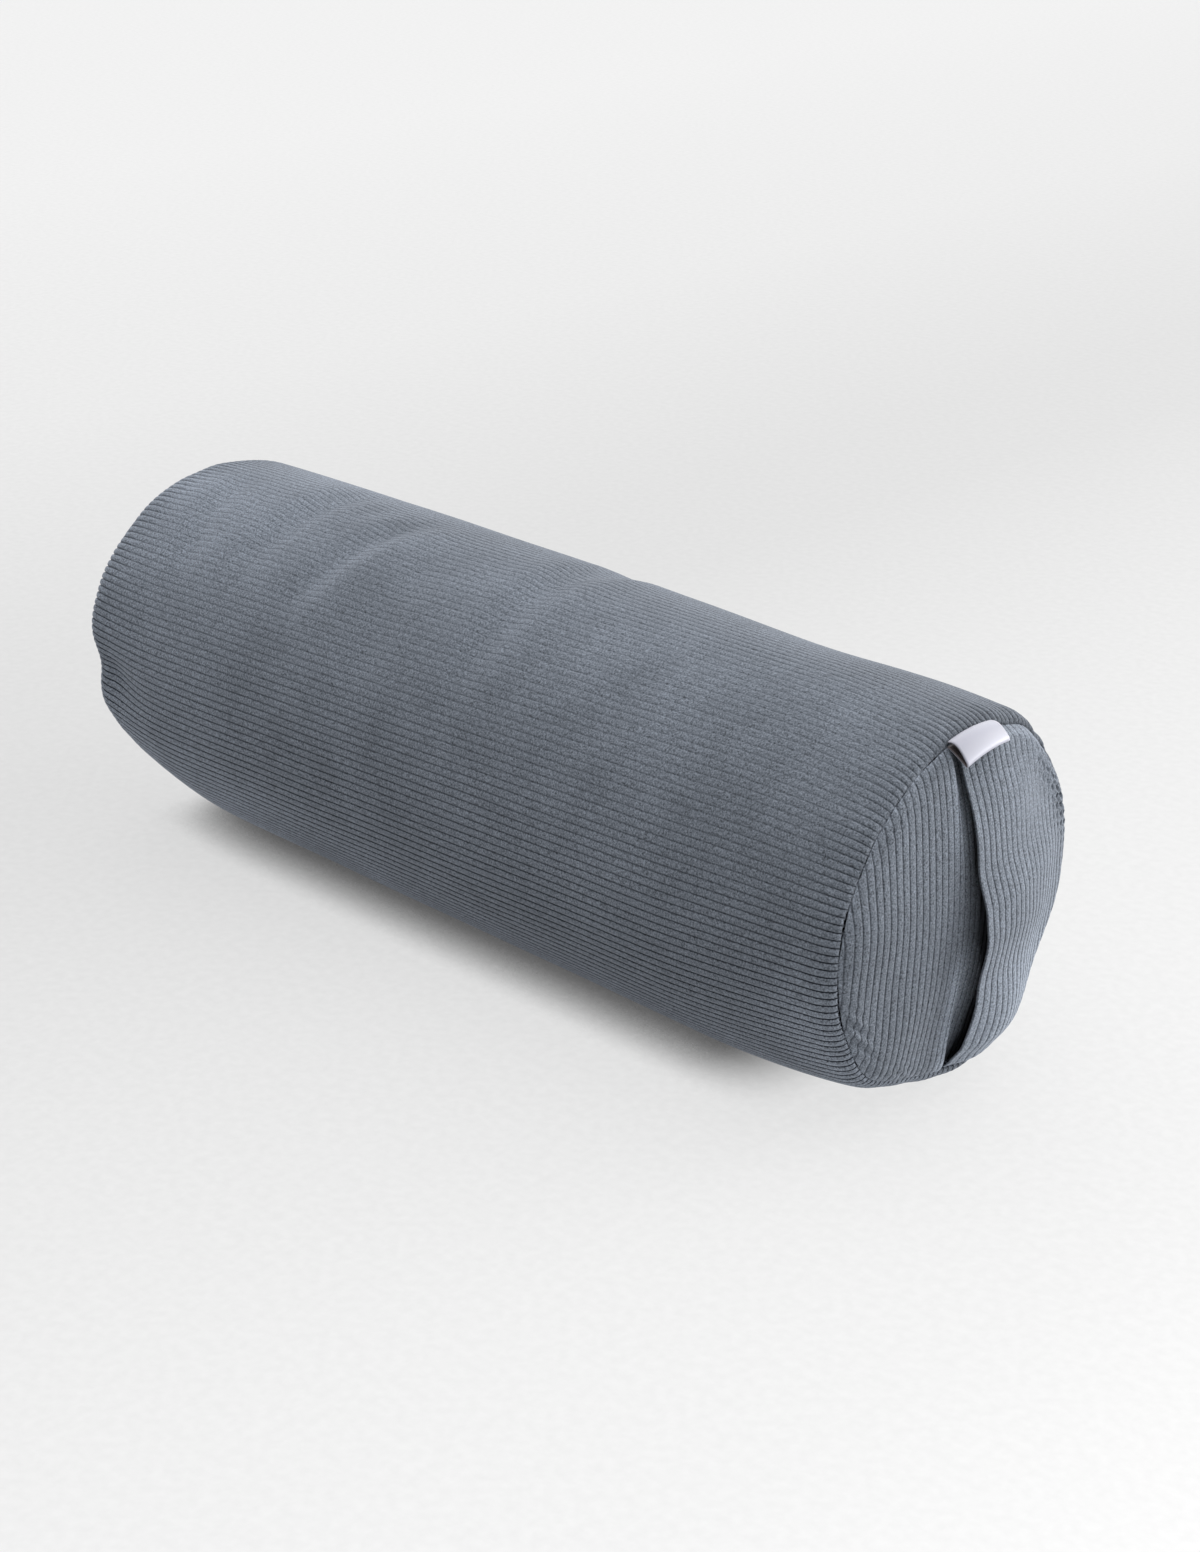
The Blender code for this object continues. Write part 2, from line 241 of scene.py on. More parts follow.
# Label
LABEL_COLUMNS, LABEL_ROWS = 41, 31
LABEL_FROM_Y, LABEL_TO_Y = -0.0175, 0.0215
LABEL_LENGTH = 0.0133
LABEL_THICKNESS = 0.0007
LABEL_FOLD_RADIUS = 0.0013
LABEL_DROOP = 0.0050
LABEL_DROOP_POWER = 1.5
LABEL_TWIST = 0.0028
LABEL_CLEARANCE = 0.0004
LABEL_BOW = 0.0018         # the loop stands open: its outer layer bows up
LABEL_SAG = 0.0006         # and its inner layer hangs
LABEL_FOLD_HIGHLIGHT = 0.48    # painted highlight: the ribbon is whitest along its fold
LABEL_FOLD_REACH = 0.0028

# Colours and the pile's finish
CORDUROY_PILE = (0.133, 0.150, 0.177)
# painted shade in the grooves
CORDUROY_GROOVE_SHADE = (0.018, 0.021, 0.028)
SATIN_WHITE = (0.272, 0.275, 0.328)
# painted shade on the inside of the ribbon's loop
SATIN_INSIDE_SHADE = (0.050, 0.038, 0.040)
SHEEN_TINT = (0.82, 0.88, 1.0, 1.0)
TUFT_SCALE = 980
PATCH_SCALE = 22
HEATHER = (0.28, 1.72)     # darkest and lightest tuft
PATCHES = (0.90, 1.10)     # darkest and lightest patch
NOISE_RANGE = (0.30, 0.70) # most of a noise lies between these
RAGGED = 0.14              # the tufts push the grooves about by this share of a rib
# Across one rib from groove to groove: place, and how much painted shade
GROOVE_SHADE_STOPS = ((0.0, 1.0), (0.05, 0.9), (0.15, 0.0), (0.85, 0.0), (0.95, 0.9), (1.0, 1.0))

# How much painted shade the grooves show. The brushed pile hides them on top, fully open is 1
GROOVE_ON_TOP = 0.05
GROOVE_BY_SEAM = 0.35
GROOVE_BY_SEAM_RAMP = (0.23, 0.07)
GROOVE_LOW = 0.45
GROOVE_LOW_RAMP = (0.1, 0.5)
GROOVE_ON_PANELS = 0.62
GROOVE_ON_FLAP = 0.62

# Painted light and shade on the wrap's pile, as a factor: the wrap's middle is 1. Each
# painted shade of the wrap adds this much where all its ramps have risen. They rise towards
# the grip end, the far end, the underside, the top or the far long side
WRAP_PAINTED_LIGHT_AND_SHADE = (
    (0.23, ("far", 0.12, 0.15)),
    (0.32, ("grip", 0.245, 0.05), ("down", -0.2, 0.6)),
    (0.28, ("far", 0.09, 0.10), ("down", 0.1, 0.5)),
    (-0.36, ("back", -0.42, 0.6)),
    (-0.126, ("back", -0.42, 0.6), ("far", 0.20, 0.08)),
    (-0.16, ("down", -0.15, 0.65), ("grip", -0.08, 0.15), ("far", -0.29, 0.12)),
    (-0.10, ("grip", 0.16, 0.08), ("up", 0.0, 0.4)),
)
# Painted light and shade of the panels and the flap, as factors
PANEL_PAINTED_LIGHT = 0.95
RIM_PAINTED_HIGHLIGHT = 0.6              # painted highlight: both cloths show lighter where they turn into a seam
RIM_HIGHLIGHT_REACH = 0.0015
FLAP_PAINTED_LIGHT = 1.06
FLAP_LOW_PAINTED_LIGHT = 0.80

# Floor: its painted glow at places along X, and how much and how near the bolster dims it with a
# painted shadow
FLOOR_SIZE = 120.0
FLOOR_GREY = (0.08, 0.08, 0.08, 1)
FLOOR_GLOW = (
    (-2.0, 0.71),
    (-1.1, 0.67),
    (-0.55, 0.60),
    (-0.4, 0.60),
    (0.0, 0.69),
    (0.45, 0.77),
    (1.0, 1.0),
)
DIMMED_REACH = 0.05
DIMMED_SHARE = 0.12
DIMMED_FROM, DIMMED_TO = 0.13, 0.49   # share of open sky over the floor
LIT_UNDER_FROM_X, LIT_UNDER_TO_X = 0.17, 0.25   # painted light from the right reaches under the grip end
FLOOR_GRAIN = 0.025
FLOOR_GRAIN_SCALE = 160

# Light: how bright the room is straight away from the key and straight at it
KEY_DIRECTION = (-0.15, 0.55, 1.00)
ROOM_DARK, ROOM_BRIGHT = 0.06, 2.45
ROOM_FROM, ROOM_TO = -0.2, 1.0        # cosine of the angle from the key
WINDOW_PLACE, WINDOW_AIM = (1.3, 2.6, 0.4), (0.2, 0, 0.1)
WINDOW_SIZE, WINDOW_POWER = 1.4, 85
WINDOW_COLOUR = (1.0, 0.99, 0.97)

# Camera, from the fit to the photo's outline
CAMERA_PLACE = (1.1372, -1.0880, 0.7678)
CAMERA_AZIMUTH = math.radians(45.357)
CAMERA_ELEVATION = math.radians(23.146)
CAMERA_LENS_MM = 67.86
SENSOR_MM = 36.0
SEEN_FROM, SEEN_TO = 0.05, 200


def clamp(value):
    return np.clip(value, 0.0, 1.0)


def smooth(value):
    value = clamp(value)
    return value * value * (3 - 2 * value)


def ramp(value, start, width):
    """0 up to a start, 1 from a width past it, and a smooth rise between."""
    return smooth((value - start) / width)


def hump(off, width):
    """1 in the middle, and less with the distance off it."""
    return np.exp(-((off / width) ** 2))


def around(turn, degrees):
    """Angle from a place on the wrap to a turn in degrees, the short way round."""
    off = turn - math.radians(degrees)
    return (off + math.pi) % TAU - math.pi


def turned_hump(turn, degrees, spread):
    """A hump round the wrap, its middle and its spread in degrees."""
    return hump(around(turn, degrees), math.radians(spread))


def rumple(points, depth, size, seed, waves=9):
    """Smooth unevenness of about a depth to both sides, with humps of one size, the same each run."""
    dice = np.random.default_rng(seed)
    total = np.zeros(points.shape[:-1])
    for _ in range(waves):
        direction = dice.normal(size=points.shape[-1])
        direction *= math.pi / size * dice.uniform(0.6, 1.4) / np.linalg.norm(direction)
        total += np.sin(points @ direction + dice.uniform(0, TAU))
    return depth * total / math.sqrt(2 * waves)


def section(x):
    """Half width, half height and middle height of the wrap at each x."""
    half_width = np.full_like(x, WIDTH / 2)
    top = np.full_like(x, HEIGHT)
    under = np.full_like(x, -SQUASH)
    for end in ENDS:
        distance = END_X - end["sign"] * x
        inside = clamp(1 - distance / SHOULDER_REACH)
        turned = SHOULDER_DROP * (1 - np.sqrt(1 - inside * inside))
        half_width = half_width - pulled_in(end["side"], distance) - turned
        top = top - pulled_in(end["top"], distance) - turned
        under = under + pulled_in(end["under"], distance) + turned
    return half_width, (top - under) / 2, (top + under) / 2


def pulled_in(pull, distance):
    """How far the end draws the filling in at a distance from it."""
    most, reach = pull
    return most * clamp(1 - distance / reach) ** 2


def seam_size(end):
    """Half width, half height and middle height of an end's seam."""
    return [float(value[0]) for value in section(np.array([end["sign"] * END_X]))]


def uneven(end, turn):
    """Radius of an end's seam as a factor of its ellipse's."""
    factor = np.ones_like(turn)
    for middle, spread, share in end["uneven"]:
        factor = factor + share * turned_hump(turn, middle, spread)
    return factor


def lean(end, across, up):
    """How far an end leans out at shares of its seam across and up."""
    return end["lean"][0] * across + end["lean"][1] * up


def hollow(x, turn):
    """Depth of the soft hollows and of the creases at each place on the wrap."""
    depth = np.zeros_like(x)
    for middle, degrees, deep, half_length, half_width in HOLLOWS:
        off = around(turn, degrees) * WIDTH / 2
        depth += deep * hump(x - middle, half_length) * hump(off, half_width)
    for from_x, from_turn, to_x, to_turn, deep, half_width in CREASES:
        share = around(turn, from_turn) / math.radians(to_turn - from_turn)
        line = from_x + (to_x - from_x) * share - WRAP_MIDDLE_X
        side = (x - line) / half_width
        whole = hump(np.maximum(np.abs(share - 0.5) - CREASE_WHOLE, 0), CREASE_FADE)
        banks = np.exp(-((np.abs(side) - CREASE_BANK_AT) ** 2) / CREASE_BANK_SPREAD)
        depth += deep * whole * (hump(side, 1) - CREASE_BANK * banks)
    return depth * smooth((END_X - np.abs(x)) / HOLLOW_FADE)


def pucker(x, turn, distance):
    """How far the cloth is drawn up and in beside a seam, uneven from stitch to stitch."""
    place = np.stack([np.cos(turn), np.sin(turn), x * PUCKER_ALONG], axis=-1) * WIDTH / 2
    more = 1 + GATHERED_MORE * turned_hump(turn, GATHERED_AT, GATHERED_SPREAD)
    drawn = more * rumple(place, *FINE_PUCKER_RUMPLE) + rumple(place, *WIDE_PUCKER_RUMPLE)
    return np.exp(-distance / PUCKER_REACH) * drawn


def wrap_points(x, turn, depth):
    """Points of the wrap at x, turned round from +Y, a depth below the rib tops."""
    half_width, half_height, middle = section(x)
    across = np.cos(turn)
    up = np.sin(turn)
    skew = np.zeros_like(x)
    wider = np.ones_like(x)
    for end in ENDS:
        distance = END_X - end["sign"] * x
        share = clamp(1 - distance / LEAN_REACH) ** 2
        skew += end["sign"] * lean(end, across, up) * share
        wider += (uneven(end, turn) - 1) * share
        depth = depth + pucker(x, turn, distance)
    unwrapped = np.stack([x, across * WIDTH / 2, up * WIDTH / 2], axis=-1)
    depth = depth + hollow(x, turn) + (WRAP_RUMPLE[0] + rumple(unwrapped, *WRAP_RUMPLE)) / 2
    y = (half_width * wider - depth) * across
    z = middle + (half_height * wider - depth) * up
    return np.stack([x + skew, y, np.maximum(z, 0.0)], axis=-1)


def on_end(end, y, z):
    """Place on an end as shares of its seam: across, up, and out from the middle."""
    half_width, half_height, middle = seam_size(end)
    across = y / half_width
    up = (z - middle) / half_height
    return across, up, np.hypot(across, up) / uneven(end, np.arctan2(up, across))


def solid_reach(end, y, z):
    """How far the solid's end panel stands out past the middle of the seam."""
    across, up, spread = on_end(end, y, z)
    set_back = np.full_like(y, PANEL_SET_BACK)
    if end is GRIP_END:
        set_back = set_back + FLAP_STACK * ramp(across, *FLAP_STACK_RAMP)
    return lean(end, across, up) + DOME_RISE * (1 - spread**2) - set_back * spread**2


def from_rim(end, spread):
    """Distance in from an end's seam."""
    return np.maximum(1 - spread, 0) * seam_size(end)[0]


def out_of_seam(inward):
    """Share of a sheet's swell that it has at a distance in from its seam."""
    return 1 - np.exp(-inward / PILLOW_REACH)


def panel_reach(end, y, z):
    """How far the panel's face stands out: a shallow dome that swells out of its seam."""
    across, up, spread = on_end(end, y, z)
    inward = from_rim(end, spread)
    swell = PILLOW * out_of_seam(inward) - SEAM_CREASE * np.exp(-inward / SEAM_CREASE_REACH)
    reach = lean(end, across, up) + (DOME_RISE - PILLOW) * (1 - spread**2) + swell
    if end is GRIP_END:
        under_flap = ramp(beyond_edge(y, z), *POCKET_RAMP)
        reach += (solid_reach(end, y, z) - reach) * under_flap
    return reach


def edge_stand_off(up):
    """Space behind the flap's straight edge, read smoothly from its table."""
    space = np.zeros_like(up)
    for (low, low_space), (high, high_space) in zip(EDGE_STAND_OFF, EDGE_STAND_OFF[1:]):
        between = low_space + (high_space - low_space) * ramp(up, low, high - low)
        space = np.where((up > low) & (up <= high), between, space)
    return space


def beyond_edge(y, z):
    """Distance from the flap's straight edge, square to its ribs."""
    return y - FLAP_EDGE_Y + FLAP_EDGE_SLOPE * (z - seam_size(GRIP_END)[2])


def flap_reach(y, z):
    """How far the flap's outer face stands out past the middle of the seam."""
    across, up, spread = on_end(GRIP_END, y, z)
    share = clamp(beyond_edge(y, z) / seam_size(GRIP_END)[0])
    space = edge_stand_off(up) * (1 - share**2) * smooth((1 - spread) / EDGE_TUCK)
    away = np.hypot(across - POUCH_ACROSS, up - POUCH_UP)
    full = FLAP_POUCH * hump(away, POUCH_SPREAD) + FLAP_FULLNESS * clamp(across)
    space = space + full * smooth((1 - spread) / POUCH_TUCK)
    inward = from_rim(GRIP_END, spread)
    swell = FLAP_SWELL * hump(inward, FLAP_SWELL_REACH) * ramp(across, *FLAP_SWELL_RAMP)
    upper_right = ramp(up, *DRAWN_IN_UP_RAMP) * ramp(across, *DRAWN_IN_ACROSS_RAMP)
    drawn_in = SEAM_CREASE * (1 + FLAP_DRAWN_IN * upper_right)
    swell = swell * out_of_seam(inward) - drawn_in * np.exp(-inward / SEAM_CREASE_REACH)
    return solid_reach(GRIP_END, y, z) + FLAP_STACK + space + swell


def pocket_painted_light(y, z):
    """Painted light on the grip end's panel: painted shade far under the flap, and a painted highlight
    beside it.
    """
    up = on_end(GRIP_END, y, z)[1]
    beyond = beyond_edge(y, z)
    lit_share = POCKET_LIT + POCKET_LIT_LOW * ramp(-up, *POCKET_LIT_LOW_RAMP)
    lit_share += POCKET_LIT_TOP * ramp(up, *POCKET_LIT_TOP_RAMP)
    lit_to = lit_share * (edge_stand_off(up) + FLAP_STACK)
    lift = BESIDE_LOW * ramp(-up, *BESIDE_LOW_RAMP) + BESIDE_TOP * ramp(up, *BESIDE_TOP_RAMP)
    lifted = 1 + lift * ramp(beyond, *BESIDE_RAMP)
    return lifted * (1 - (1 - POCKET_LIGHT) * ramp(beyond, lit_to, POCKET_FADE))


def seam_puckers(end, y, z, puckers, place):
    """How far the puckers beside a sheet's seam push it out."""
    half_width, half_height, middle = seam_size(end)
    inward, width = place
    turn = np.arctan2((z - middle) / half_height, y / half_width)
    near_seam = hump(1 - on_end(end, y, z)[2] - inward, width)
    total = np.zeros_like(y)
    for degrees, spread, depth, pitch, slant in puckers:
        near = turned_hump(turn, degrees, spread) * near_seam
        total += depth * near * np.sin((z + slant * y) / pitch * TAU)
    return total


def seam_outline(end, margin, steps=720):
    """Y and Z all round an end's seam, a margin inside it."""
    half_width, half_height, middle = seam_size(end)
    turn = np.linspace(0, TAU, steps, endpoint=False)
    factor = uneven(end, turn)
    y = (half_width * factor - margin) * np.cos(turn)
    z = middle + (half_height * factor - margin) * np.sin(turn)
    return y, z


def column_ends(outline_across, outline_z, across, middle):
    """Lowest and highest Z inside an outline at each place across it."""
    upper = outline_z >= middle
    ends = []
    for half in (~upper, upper):
        order = np.argsort(outline_across[half])
        ends.append(np.interp(across, outline_across[half][order], outline_z[half][order]))
    return ends


def rib_columns(first, last):
    """Rib coordinates of the lines of points across whole ribs."""
    return np.array([rib + place for rib in range(first, last) for place in RIB_PLACES])


def row_share(row, rows):
    """Share of the way along its rib at which a row lies. They lie closest by the seams."""
    return (1 - np.cos(row / (rows - 1) * math.pi)) / 2


def rib_depth(ribs):
    """Depth below the rib tops at each rib coordinate."""
    places = RIB_PLACES + (1.0,)
    heights = RIB_HEIGHTS + (0.0,)
    return RIB_RISE * (1 - np.interp(ribs % 1.0, places, heights))


def deselect():
    for chosen in list(bpy.context.selected_objects):
        chosen.select_set(False)


def choose(piece):
    deselect()
    piece.select_set(True)
    bpy.context.view_layer.objects.active = piece


def edit_all(piece):
    """Open a piece for editing, with all of it selected."""
    choose(piece)
    bpy.ops.object.mode_set(mode="EDIT")
    bpy.ops.mesh.select_all(action="SELECT")


def length_of_cloth(name, columns, rows):
    """A flat grid of cloth. Returns it with each point's column and row number."""
    deselect()
    bpy.ops.mesh.primitive_grid_add(x_subdivisions=columns - 1, y_subdivisions=rows - 1, size=2)
    cloth = bpy.context.object
    cloth.name = name
    cloth.data.name = name
    flat = np.empty(len(cloth.data.vertices) * 3)
    cloth.data.vertices.foreach_get("co", flat)
    flat = flat.reshape(-1, 3)
    column = np.rint((flat[:, 0] + 1) / 2 * (columns - 1)).astype(int)
    row = np.rint((flat[:, 1] + 1) / 2 * (rows - 1)).astype(int)
    return cloth, column, row


def lay_out(cloth, points, ribs, along):
    """Shape the cloth, and keep its rib coordinate and its length along the rib as its UV map."""
    mesh = cloth.data
    points = points + np.array([WRAP_MIDDLE_X, 0, 0])
    mesh.vertices.foreach_set("co", points.ravel())
    corners = np.empty(len(mesh.loops), dtype=int)
    mesh.loops.foreach_get("vertex_index", corners)
    mesh.uv_layers[0].name = "Cloth"
    mesh.uv_layers[0].data.foreach_set("uv", np.stack([ribs, along], axis=-1)[corners].ravel())
    mesh.update()


def paint(cloth, name, values):
    """Keep one number for each point of the cloth, for its finish to read."""
    layer = cloth.data.attributes.new(name, "FLOAT", "POINT")
    values = np.broadcast_to(values, len(cloth.data.vertices))
    layer.data.foreach_set("value", values.astype(float))


def sew_up(cloth):
    """Merge the points that meet, turn the faces outwards and shade the piece smooth."""
    edit_all(cloth)
    bpy.ops.mesh.remove_doubles(threshold=0.000002)
    bpy.ops.mesh.normals_make_consistent(inside=False)
    bpy.ops.object.mode_set(mode="OBJECT")
    bpy.ops.object.shade_smooth()


def face_outwards(piece, sign):
    """Turn an open piece's faces so that they look out along X."""
    total = sum(face.normal.x * face.area for face in piece.data.polygons)
    if total * sign < 0:
        edit_all(piece)
        bpy.ops.mesh.flip_normals()
        bpy.ops.object.mode_set(mode="OBJECT")


def add_wall(piece, name, thickness, offset):
    """Give an open piece its thickness: inwards with an offset of -1, to both sides with 0."""
    choose(piece)
    wall = piece.modifiers.new(name, "SOLIDIFY")
    wall.thickness = thickness
    wall.offset = offset
    bpy.ops.object.modifier_apply(modifier=wall.name)


def dress(piece, node, finish):
    """Give a piece its finish and stand it in for its CAD node."""
    piece.data.materials.clear()
    piece.data.materials.append(finish)
    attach(piece, BODY)
    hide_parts(node)


def wrap_rows():
    """X, tuck, set-back and closing share of each row of points along the wrap."""
    inner = END_X - EDGE_ROWS[-1][0]
    rows = [(-END_X, 0, 0, share) for share in CLOSING_SHARES]
    rows += [(-END_X + distance, tuck, back, OPEN) for distance, tuck, back in EDGE_ROWS]
    rows += [(x, 0, 0, OPEN) for x in np.linspace(-inner, inner, LONG_ROWS)[1:-1]]
    rows += [(END_X - distance, tuck, -back, OPEN) for distance, tuck, back in reversed(EDGE_ROWS)]
    rows += [(END_X, 0, 0, share) for share in reversed(CLOSING_SHARES)]
    return np.array(rows)


def rib_turn(ribs, x):
    """How far round the wrap each rib lies: it twists, and wanders a little."""
    turn = ribs / BODY_RIBS * TAU
    place = np.stack([np.cos(turn), np.sin(turn), x * WANDER_ALONG], axis=-1)
    wander = rumple(place, *WANDER_RUMPLE) * ramp(END_X - np.abs(x), *WANDER_RAMP)
    return turn + RIB_TWIST * x + wander


def gathered(x):
    """How proud the ribs stand along the wrap. They stand prouder at both seams."""
    proud = np.ones_like(x)
    for end in ENDS:
        more, reach = end["gather"]
        proud += more * np.exp(-(END_X - end["sign"] * x) / reach)
    return proud


def close_ends(points, x, turn, share):
    """Carry the closing rows in over the filling's ends, behind the panels."""
    for end in ENDS:
        closing = (share >= 0) & (x * end["sign"] > 0)
        half_width, half_height, middle = seam_size(end)
        y = half_width * CLOSING_WIDTH * share[closing] * np.cos(turn[closing])
        z = middle + half_height * CLOSING_WIDTH * share[closing] * np.sin(turn[closing])
        reach = END_X + panel_reach(end, y, z) - CLOSING_DEPTH
        points[closing] = np.stack([end["sign"] * reach, y, z], axis=-1)


def wrap_groove_shade(x, turn, brushed):
    """How much painted shade the wrap's grooves show."""
    groove = GROOVE_ON_TOP + (1 - GROOVE_ON_TOP) * brushed
    groove += GROOVE_LOW * ramp(-np.sin(turn), *GROOVE_LOW_RAMP)
    return groove + GROOVE_BY_SEAM * ramp(np.abs(x), *GROOVE_BY_SEAM_RAMP) * brushed


def wrap_painted_light(x, turn):
    """Painted light and shade on the wrap's pile."""
    up = np.sin(turn)
    towards = {"grip": x, "far": -x, "up": up, "down": -up, "back": np.cos(turn)}
    light = np.ones_like(x)
    for more, *ramps in WRAP_PAINTED_LIGHT_AND_SHADE:
        for way, start, width in ramps:
            more = more * ramp(towards[way], start, width)
        light += more
    return light


def make_wrap(finish):
    """Wrap and filling: a length of corduroy rolled round, turned in at both seams and closed."""
    rows = wrap_rows()
    columns = np.append(rib_columns(0, BODY_RIBS), BODY_RIBS)
    wrap, column, row = length_of_cloth("wrap_and_filling", len(columns), len(rows))
    x, tuck, back, share = rows[row].T
    ribs = columns[column]
    turn = rib_turn(ribs, x)
    brushed = ramp(-np.sin(turn), *BRUSHED_RAMP)
    pressed = (1 - RIBS_ON_TOP) * (1 - brushed) * ramp(END_X - np.abs(x), *PRESSED_RAMP)
    points = wrap_points(x, turn, rib_depth(ribs) * (1 - pressed) * gathered(x) + tuck)
    points[:, 0] += back
    close_ends(points, x, turn, share)
    lay_out(wrap, points, ribs, x)
    # Painted shade in the grooves, and painted light and shade over the wrap with a painted highlight
    # over its turned-in edges
    paint(wrap, "Groove", wrap_groove_shade(x, turn, brushed))
    paint(wrap, "Light", wrap_painted_light(x, turn) + RIM_PAINTED_HIGHLIGHT * (tuck > 0))
    sew_up(wrap)
    dress(wrap, "bolster_body", finish)


def make_panel(name, node, end, finish):
    """Domed round panel with upright ribs, its rim turned in to the seam."""
    half_width, half_height, middle = seam_size(end)
    outline_y, outline_z = seam_outline(end, RIM_MARGIN)
    from_y, to_y = outline_y.min(), outline_y.max()
    last = math.ceil(half_width / PANEL_RIB_PITCH)
    across = rib_columns(-last, last) * PANEL_RIB_PITCH
    across = np.concatenate([[from_y], across[(across > from_y) & (across < to_y)], [to_y]])
    low, high = column_ends(outline_y, outline_z, across, middle)
    panel, column, row = length_of_cloth(name, len(across), PANEL_ROWS)
    y = across[column]
    z = low[column] + (high - low)[column] * row_share(row, PANEL_ROWS)
    ribs = y / PANEL_RIB_PITCH
    place = np.stack([y, z], axis=-1)
    spread = on_end(end, y, z)[2]
    inner = 1 - ramp(spread, *RIM_RAMP)
    reach = panel_reach(end, y, z) - rib_depth(ribs) + rumple(place, *PANEL_RUMPLE) * inner
    reach += rumple(place, *PANEL_RIM_RUMPLE) * spread**RIM_RUMPLE_POWER
    reach += seam_puckers(end, y, z, PANEL_PUCKERS, PANEL_PUCKERS_AT)
    sway = rumple(place, *PANEL_SWAY_RUMPLE) * inner
    points = np.stack([end["sign"] * (END_X + reach), y + sway, z], axis=-1)
    lay_out(panel, points, ribs, z)
    # Painted shade in the grooves, a painted highlight along the seam, and on the grip end painted
    # shade under the flap with a painted highlight beside it
    paint(panel, "Groove", GROOVE_ON_PANELS)
    lightness = PANEL_PAINTED_LIGHT * (1 + RIM_PAINTED_HIGHLIGHT * np.exp(-from_rim(end, spread) / RIM_HIGHLIGHT_REACH))
    paint(panel, "Light", lightness * (pocket_painted_light(y, z) if end is GRIP_END else 1.0))
    sew_up(panel)
    face_outwards(panel, end["sign"])
    add_wall(panel, "Cloth thickness", PANEL_THICKNESS, -1)
    dress(panel, node, finish)


def flap_columns(farthest):
    """Each line of points, in over the back, round the fold and out over the front.

    Returns its distance past the straight edge, and its side from -1 behind to 1 in front.
    """
    half = FLAP_CLOTH / 2
    front = rib_columns(0, math.ceil(farthest / FLAP_RIB_PITCH)) * FLAP_RIB_PITCH
    front = np.append(front[(front > half) & (front < farthest)], farthest)
    fold = np.linspace(-math.pi / 2, math.pi / 2, FOLD_STEPS)
    beyond = np.concatenate([front[::-1], half * (1 - np.cos(fold)), front])
    side = np.concatenate([-np.ones(len(front)), np.sin(fold), np.ones(len(front))])
    return beyond, side


def make_flap(finish):
    """Half-moon flap of doubled corduroy, folded along its straight edge and sewn in round the rest."""
    half_width, half_height, middle = seam_size(GRIP_END)
    outline_y, outline_z = seam_outline(GRIP_END, RIM_MARGIN)
    outline_beyond = beyond_edge(outline_y, outline_z)
    farthest = outline_beyond.max()
    columns, sides = flap_columns(farthest)
    inside = outline_beyond > FLAP_OUTLINE_FROM
    low, high = column_ends(outline_beyond[inside], outline_z[inside], columns, middle)
    flap, column, row = length_of_cloth("half_moon_flap", len(columns), FLAP_ROWS)
    beyond = columns[column]
    side = sides[column]
    z = low[column] + (high - low)[column] * row_share(row, FLAP_ROWS)
    y = FLAP_EDGE_Y + beyond - FLAP_EDGE_SLOPE * (z - middle)
    ribs = beyond / FLAP_RIB_PITCH
    across, up, spread = on_end(GRIP_END, y, z)
    worn = hump(across - WORN_ACROSS, WORN_SPREAD_ACROSS) * hump(up - WORN_UP, WORN_SPREAD_UP)
    kept = 1 - WORN_SHARE * worn
    groove = np.where(side > 0, rib_depth(ribs) * kept * smooth(beyond / FLAP_CLOTH), 0)
    closed = clamp((1 - RIM_MARGIN / half_width - spread) / FLAP_CLOSING)
    layer = FLAP_CLOTH / 2 * (side * np.sqrt(closed) - 1)
    reach = flap_reach(y, z) + layer - groove
    reach += rumple(np.stack([y, z], axis=-1), *FLAP_RUMPLE) * closed
    reach += seam_puckers(GRIP_END, y, z, FLAP_PUCKERS, FLAP_PUCKERS_AT)
    lay_out(flap, np.stack([END_X + reach, y, z], axis=-1), ribs, z)
    # Painted shade in the grooves, painted light growing towards the underside, and painted shade on
    # the back layer inside the pocket
    paint(flap, "Groove", GROOVE_ON_FLAP * kept)
    lightness = FLAP_PAINTED_LIGHT + FLAP_LOW_PAINTED_LIGHT * smooth((middle - z) / half_height)
    paint(flap, "Light", np.where(side < -0.5, POCKET_LIGHT, lightness))
    sew_up(flap)
    dress(flap, "grip_flap", finish)


def label_profile(share):
    """Middle line of the folded ribbon: distance out, height above the lower layer, length run."""
    bend = math.pi * LABEL_FOLD_RADIUS
    straight = LABEL_LENGTH - LABEL_FOLD_RADIUS
    run = share * (2 * straight + bend)
    angle = clamp((run - straight) / bend) * math.pi
    back_in = 2 * straight + bend - run
    out = np.where(run < straight, run, np.where(run < straight + bend, straight, back_in))
    slack = np.where(run < straight + bend / 2, -LABEL_SAG, LABEL_BOW)
    rise = LABEL_FOLD_RADIUS * (1 - np.cos(angle)) + slack * np.sin(clamp(out / straight) * math.pi)
    return out + LABEL_FOLD_RADIUS * np.sin(angle), rise, run


def inside_of_loop(label, run):
    """1 at each point of the folded ribbon's inner side and 0 on its outer side."""
    heights = np.array([point.co.z for point in label.data.vertices])
    one_side, other_side = heights[: len(run)], heights[len(run) :]
    over = run > LABEL_LENGTH + (math.pi / 2 - 1) * LABEL_FOLD_RADIUS
    one_is_inside = np.where(over, one_side < other_side, one_side > other_side)
    return np.concatenate([one_is_inside, ~one_is_inside]).astype(float)


